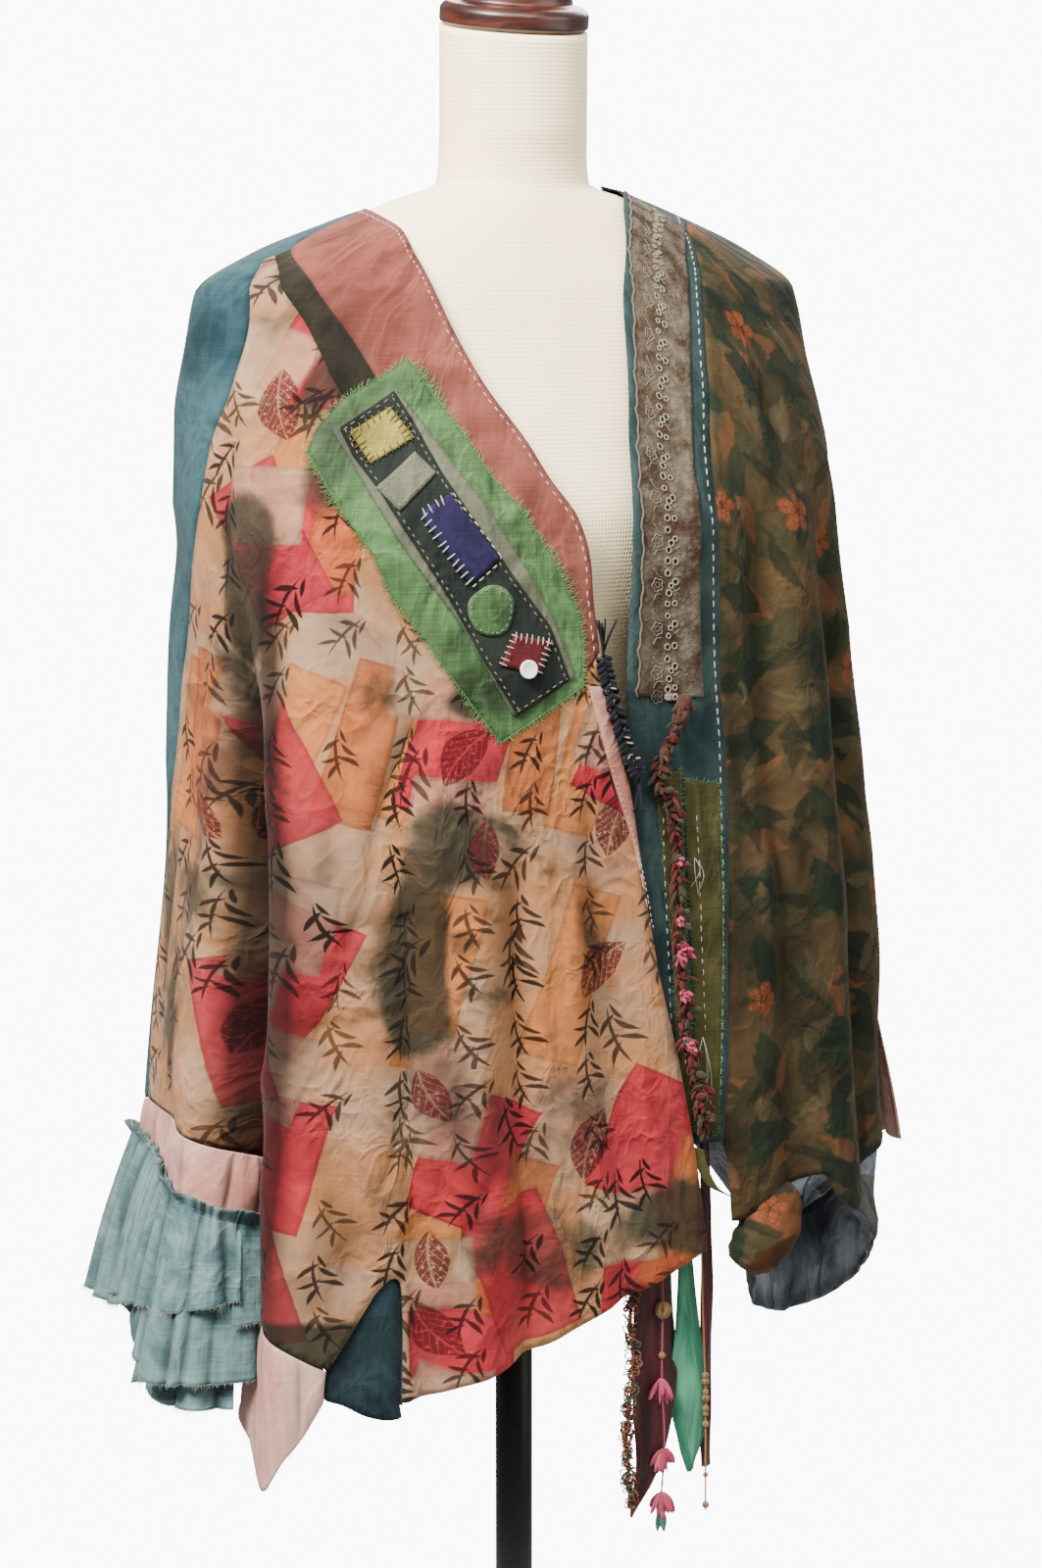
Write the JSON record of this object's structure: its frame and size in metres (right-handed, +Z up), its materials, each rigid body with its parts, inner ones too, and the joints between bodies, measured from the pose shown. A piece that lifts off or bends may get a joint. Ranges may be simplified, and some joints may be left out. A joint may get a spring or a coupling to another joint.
{
  "type": "patchwork jacket on dress form",
  "caption": "Loose batwing patchwork jacket with ruffled right cuff and hanging ties, worn on a limbless dress form with a round base.",
  "frame": {"origin": "centre of the round base's underside, on the floor", "axes": "+Z up along the stand's pole, -Y towards the jacket's front, -X towards the wearer's right"},
  "size_m": [0.6472, 0.3502, 1.5979],
  "materials": {
    "print_cloth": "soft printed cotton voile, matt, crumpled",
    "rust_linen": "washed linen, matt, slubby",
    "teal_linen": "washed linen, matt, slubby",
    "dark_linen": "dark washed linen, matt",
    "pale_pink_linen": "washed linen, matt",
    "green_linen": "loose green linen with raw fringed edges",
    "sage_linen": "grey-green quilted cotton, matt",
    "yellow_linen": "yellow cotton scrap, matt",
    "purple_linen": "purple linen scrap, matt",
    "dark_red_linen": "dark red linen scrap, matt",
    "flower_cloth": "soft cotton printed with leaves and orange flowers",
    "dark_teal_linen": "dark teal linen, matt",
    "eyelet_lace": "taupe eyelet lace with grey ring stitches",
    "olive_linen": "olive linen, matt",
    "grey_teal_cotton": "crumpled grey-teal cotton, matt",
    "maroon_silk": "maroon silk ribbon, soft sheen",
    "green_silk": "green silk ribbon, soft sheen",
    "rust_yarn": "mixed rust and green yarn, fuzzy",
    "pink_yarn": "pink tufted yarn",
    "tan_yarn": "tan yarn, fuzzy",
    "navy_yarn": "navy braided yarn with pale flecks",
    "white_shell": "white button, smooth",
    "cream_jersey": "cream jersey stretched on a hard form",
    "mahogany": "dark red-brown turned wood, varnished",
    "black_iron": "black painted steel tube, satin"
  },
  "bodies": {
    "root": {"back_panel": "teal_linen", "boucle_yarn": "rust_yarn", "dark_patch": "dark_linen", "dark_strip": "dark_linen", "eyelet_trim": "eyelet_lace", "form_base": "mahogany", "form_neck_cap": "mahogany", "form_pole": "black_iron", "form_torso": "cream_jersey", "green_disc": "green_linen", "green_patch": "green_linen", "green_ribbon": "green_silk", "left_band": "dark_teal_linen", "left_cuff": "grey_teal_cotton", "left_cuff_frill": "pale_pink_linen", "left_cuff_roll": "flower_cloth", "left_front": "flower_cloth", "left_underarm": "teal_linen", "maroon_ribbon": "maroon_silk", "maroon_ribbon_narrow": "maroon_silk", "navy_braid": "navy_yarn", "olive_patch": "olive_linen", "olive_patch_edge": "olive_linen", "olive_tie": "olive_linen", "purple_patch": "purple_linen", "red_patch": "dark_red_linen", "right_cuff_band": "pale_pink_linen", "right_facing": "pale_pink_linen", "right_front": "print_cloth", "right_neck_band": "rust_linen", "right_ruffle_long": "teal_linen", "right_ruffle_short": "teal_linen", "right_underarm": "teal_linen", "sage_patch": "sage_linen", "sage_underlay": "sage_linen", "tan_yarn": "tan_yarn", "tuft_yarn": "pink_yarn", "white_button": "white_shell", "yarn_braid": "rust_yarn", "yellow_patch": "yellow_linen"}
  },
  "joints": []
}
